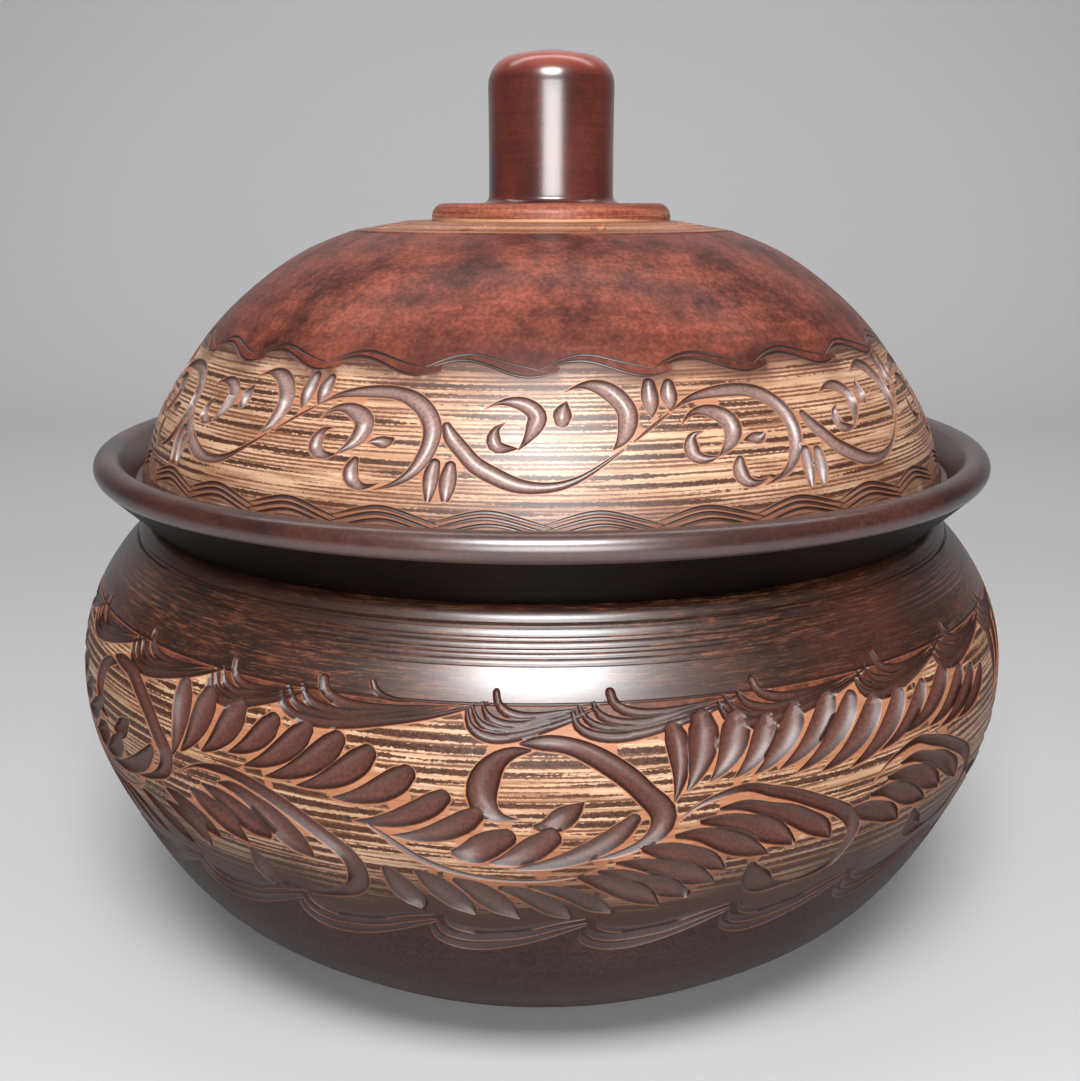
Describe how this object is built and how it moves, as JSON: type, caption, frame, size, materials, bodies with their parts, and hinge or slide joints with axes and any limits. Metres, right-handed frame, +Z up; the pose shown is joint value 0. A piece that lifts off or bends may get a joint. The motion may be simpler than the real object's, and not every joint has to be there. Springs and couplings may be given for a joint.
{
  "type": "lidded clay casserole",
  "caption": "Round-bellied red clay casserole with flared rim, carved vine bands and a domed lift-off lid with a stout round knob.",
  "frame": {"origin": "on the table under the middle of the pot's base", "axes": "+Z up along the axis that the pot was turned on; the knob stands a little off that axis towards +X; the carved side seen in the picture faces -Y"},
  "size_m": [0.28, 0.28, 0.26],
  "materials": {
    "pot_clay": "smoked and waxed red clay, satin, with carved and scratched bands of pale tan",
    "lid_clay": "smoked and waxed red clay, satin, with a carved and scratched band of pale tan",
    "knob_clay": "smoked and waxed red clay, satin"
  },
  "bodies": {
    "pot": {"pot_body": "pot_clay"},
    "lid": {"lid_dome": "lid_clay", "lid_knob": "knob_clay"}
  },
  "joints": [
    {"name": "lid_lift", "type": "slide", "parent": "pot", "child": "lid", "axis": [0, 0, 1], "range_m": [0, 0.2]}
  ]
}
